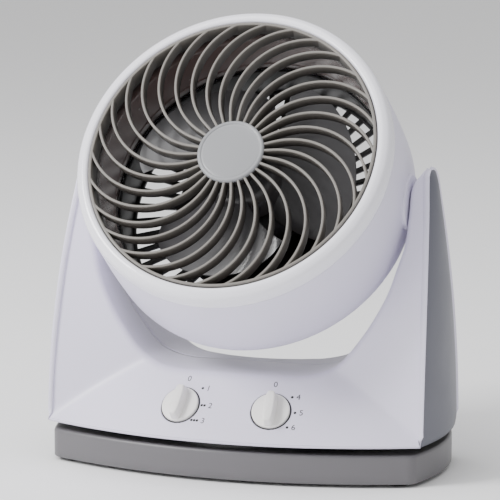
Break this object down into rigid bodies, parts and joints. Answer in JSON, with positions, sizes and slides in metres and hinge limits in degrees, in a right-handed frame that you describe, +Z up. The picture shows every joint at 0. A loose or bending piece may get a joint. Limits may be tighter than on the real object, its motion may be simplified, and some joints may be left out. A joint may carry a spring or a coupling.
{
  "type": "air circulator fan",
  "caption": "Desk air circulator: round fan head with a spiral grille, tilting in a U-shaped yoke that swivels on a flat grey plinth, with two rotary control knobs on a sloping panel.",
  "frame": {"origin": "on the standing surface, under the middle of the whole width and depth", "axes": "+Z up, -Y the way the grille looks at rest, +X to the right seen from the front"},
  "size_m": [0.3518, 0.2435, 0.3883],
  "materials": {
    "yoke_white": "semi-gloss moulded",
    "bezel_white": "glossy moulded",
    "plinth_grey": "satin moulded",
    "cover_grey": "satin moulded",
    "grille_grey": "satin moulded",
    "cap_grey": "satin metallic paint",
    "duct_brown": "gloss moulded",
    "black_plastic": "satin moulded",
    "blade_grey": "gloss moulded",
    "foot_rubber": "matte",
    "bright_steel": "turned",
    "motor_cast": "cast, painted",
    "ballast_iron": "raw",
    "knob_cream": "satin moulded"
  },
  "bodies": {
    "base": {"plinth_shell": "plinth_grey", "plinth_bottom": "black_plastic", "cord_gland": "black_plastic", "foot_front_left": "foot_rubber", "foot_rear_left": "foot_rubber", "foot_front_right": "foot_rubber", "foot_rear_right": "foot_rubber", "ballast_plate": "ballast_iron", "swivel_post": "bright_steel", "post_clip": "bright_steel", "pan_gear": "black_plastic"},
    "yoke": {"yoke_front": "yoke_white", "yoke_rear": "yoke_white", "side_cover_left": "cover_grey", "side_cover_right": "cover_grey", "yoke_floor": "black_plastic", "turntable": "black_plastic", "pan_motor": "bright_steel", "tilt_motor": "bright_steel", "pivot_bush_left": "black_plastic", "pivot_bush_right": "black_plastic", "speed_switch": "black_plastic", "mode_switch": "black_plastic", "run_capacitor": "black_plastic", "yoke_screw_1": "bright_steel", "yoke_screw_2": "bright_steel", "yoke_screw_3": "bright_steel", "yoke_screw_4": "bright_steel"},
    "pan_pinion_body": {"pan_pinion": "knob_cream"},
    "tilt_pinion_body": {"tilt_pinion": "knob_cream"},
    "speed_dial": {"speed_knob": "knob_cream", "speed_shaft": "bright_steel"},
    "mode_dial": {"mode_knob": "knob_cream", "mode_shaft": "bright_steel"},
    "head": {"drum_shell": "yoke_white", "front_bezel": "bezel_white", "front_grille": "grille_grey", "hub_cap": "cap_grey", "air_duct": "duct_brown", "rear_guard": "black_plastic", "motor_screw_1": "bright_steel", "motor_screw_2": "bright_steel", "motor_screw_3": "bright_steel", "fan_motor": "motor_cast", "tilt_pin_left": "bright_steel", "tilt_pin_right": "bright_steel", "tilt_gear": "knob_cream"},
    "rotor": {"propeller": "blade_grey", "fan_shaft": "bright_steel", "spinner_nut": "black_plastic"}
  },
  "joints": [
    {"name": "swivel", "type": "hinge", "parent": "base", "child": "yoke", "pos_m": [0, 0.01325, 0.0284], "axis": [0, 0, 1], "range_deg": [-45, 45]},
    {"name": "pan_pinion_spin", "type": "hinge", "parent": "yoke", "child": "pan_pinion_body", "pos_m": [0, -0.02675, 0.061], "axis": [0, 0, 1], "range_deg": [-135, 135]},
    {"name": "tilt", "type": "hinge", "parent": "yoke", "child": "head", "pos_m": [0, 0.01905, 0.2322], "axis": [-1, 0, 0], "range_deg": [-35, 55]},
    {"name": "tilt_pinion_spin", "type": "hinge", "parent": "yoke", "child": "tilt_pinion_body", "pos_m": [0.15, 0.01905, 0.2152], "axis": [-1, 0, 0], "range_deg": [-61.88, 39.38]},
    {"name": "fan_spin", "type": "hinge", "parent": "head", "child": "rotor", "pos_m": [0, 0.01905, 0.2322], "axis": [0, 0.8192, -0.5736], "continuous": true},
    {"name": "speed_turn", "type": "hinge", "parent": "yoke", "child": "speed_dial", "pos_m": [-0.0406, -0.06046, 0.0602], "axis": [0.0774, 0.7448, -0.6627], "range_deg": [0, 135]},
    {"name": "mode_turn", "type": "hinge", "parent": "yoke", "child": "mode_dial", "pos_m": [0.0406, -0.06046, 0.0602], "axis": [-0.0774, 0.7448, -0.6627], "range_deg": [0, 135]}
  ],
  "couplings": [
    {"joint": "pan_pinion_spin", "follows": "swivel", "ratio": 3},
    {"joint": "tilt_pinion_spin", "follows": "tilt", "ratio": -1.125}
  ]
}
